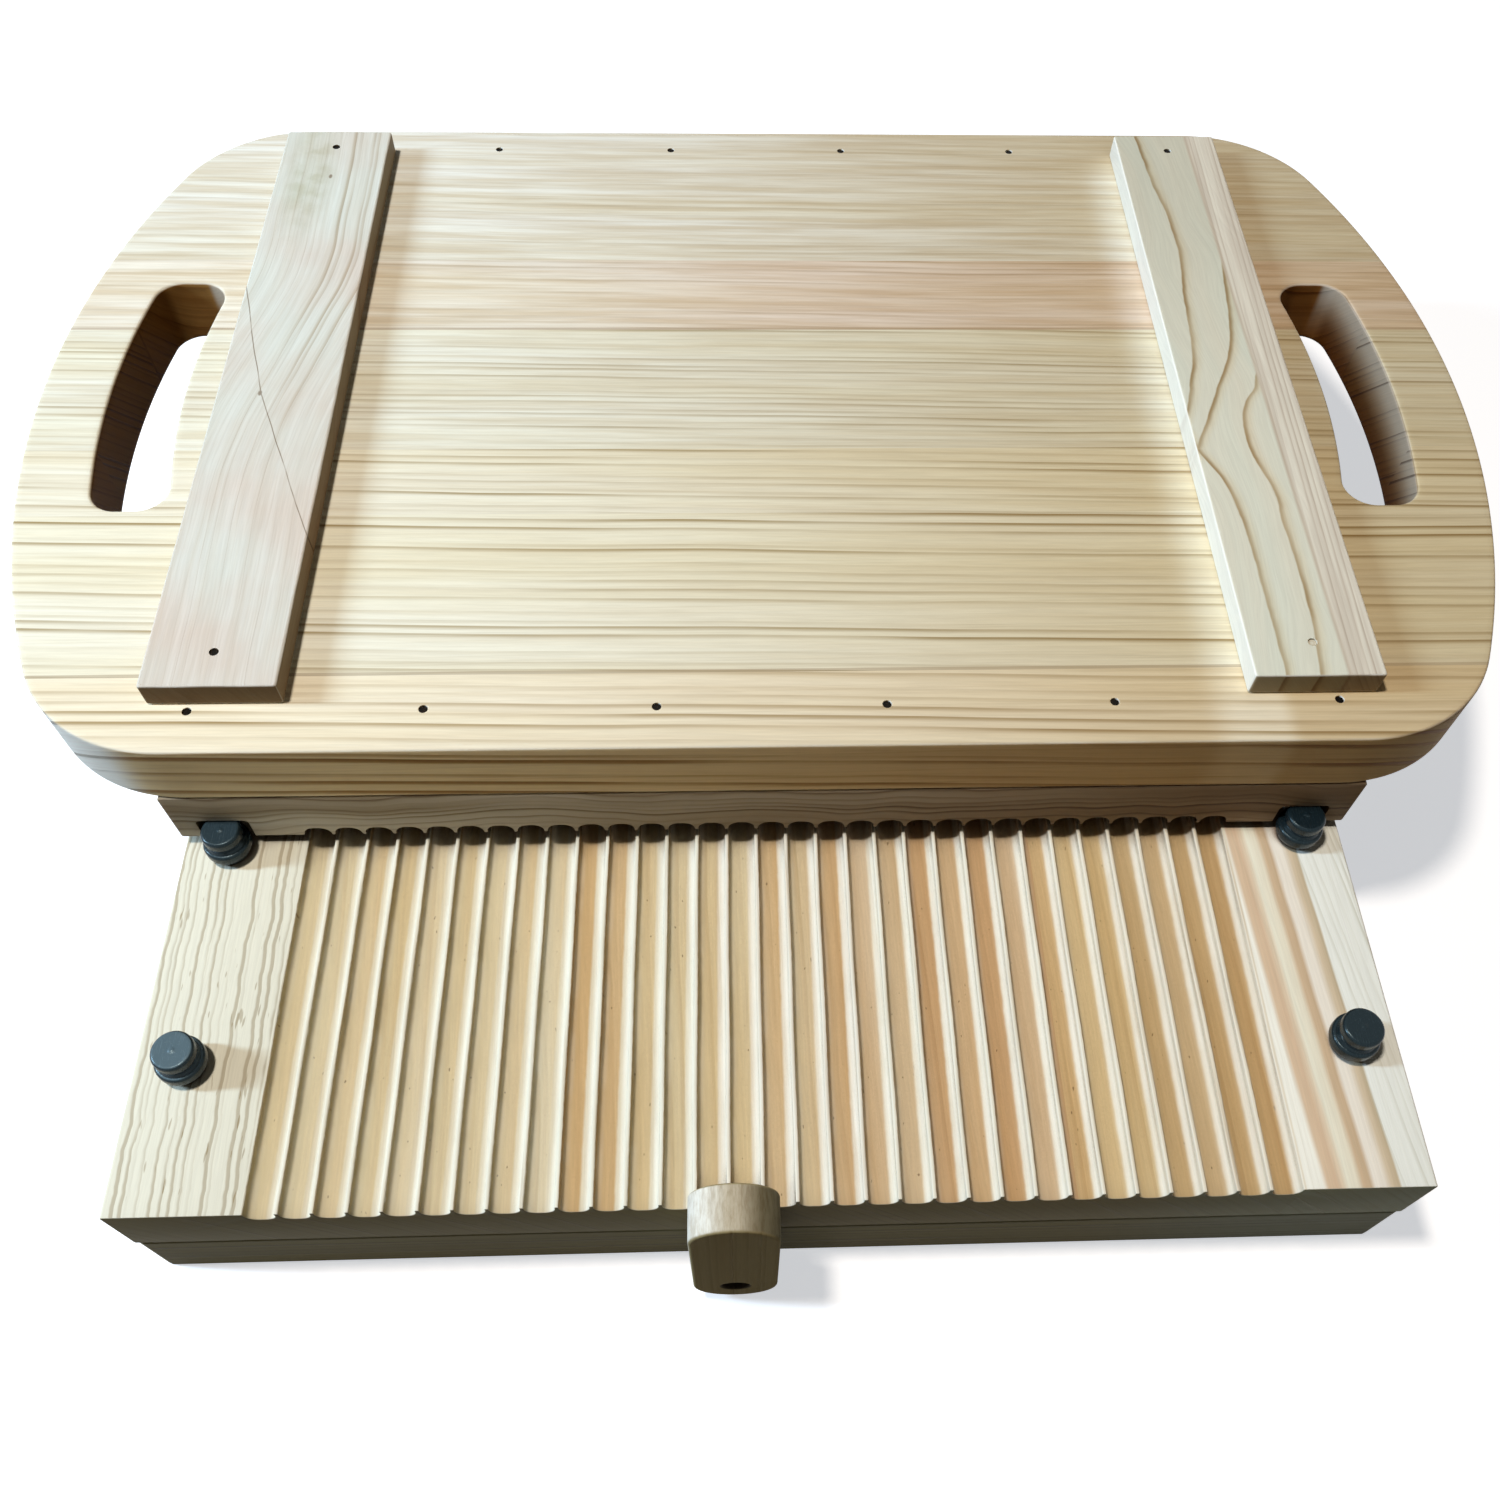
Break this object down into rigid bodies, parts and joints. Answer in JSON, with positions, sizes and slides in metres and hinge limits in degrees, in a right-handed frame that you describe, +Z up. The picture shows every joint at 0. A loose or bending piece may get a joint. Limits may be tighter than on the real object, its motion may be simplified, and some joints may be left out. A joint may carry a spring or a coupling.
{
  "type": "dough ball press",
  "caption": "Wooden dough ball press: a grooved lower board with side glides and a turning front stop, and a sliding grooved upper board with hand holes and battens.",
  "frame": {"origin": "middle of the base board's underside, on the table", "axes": "+X to the right as the user faces the press, +Y to the back, along the grooves, +Z up"},
  "size_m": [0.495, 0.4305, 0.115],
  "materials": {
    "pine_board": "planed, unfinished",
    "groove_pine": "milled, unfinished",
    "dark_pine": "milled, unfinished",
    "handle_pine": "sanded, unfinished",
    "grey_batten": "sanded, unfinished",
    "cream_batten": "sanded, unfinished",
    "stop_wood": "sanded, unfinished",
    "black_plastic": "moulded, satin",
    "steel": "dull, darkened"
  },
  "bodies": {
    "lower": {"base_board": "pine_board", "lower_groove_plate": "groove_pine", "stop_screw": "steel", "glide_left_1": "black_plastic", "glide_left_2": "black_plastic", "glide_left_3": "black_plastic", "glide_left_4": "black_plastic", "glide_left_5": "black_plastic", "glide_right_1": "black_plastic", "glide_right_2": "black_plastic", "glide_right_3": "black_plastic", "glide_right_4": "black_plastic", "glide_right_5": "black_plastic"},
    "upper": {"upper_groove_plate": "dark_pine", "handle_board": "handle_pine", "batten_left": "grey_batten", "batten_right": "cream_batten", "board_nail_1": "steel", "board_nail_2": "steel", "board_nail_3": "steel", "board_nail_4": "steel", "board_nail_5": "steel", "board_nail_6": "steel", "board_nail_7": "steel", "board_nail_8": "steel", "board_nail_9": "steel", "board_nail_10": "steel", "batten_nail_1": "steel", "batten_nail_2": "steel", "batten_nail_3": "steel", "batten_nail_4": "steel"},
    "stop": {"stop_block": "stop_wood"}
  },
  "joints": [
    {"name": "board_slide", "type": "slide", "parent": "lower", "child": "upper", "axis": [0, -1, 0], "range_m": [-0.0618, 0.1172]},
    {"name": "stop_turn", "type": "hinge", "parent": "lower", "child": "stop", "pos_m": [-0.013, -0.1928, 0.0135], "axis": [0, -1, 0], "range_deg": [-90, 90]}
  ]
}
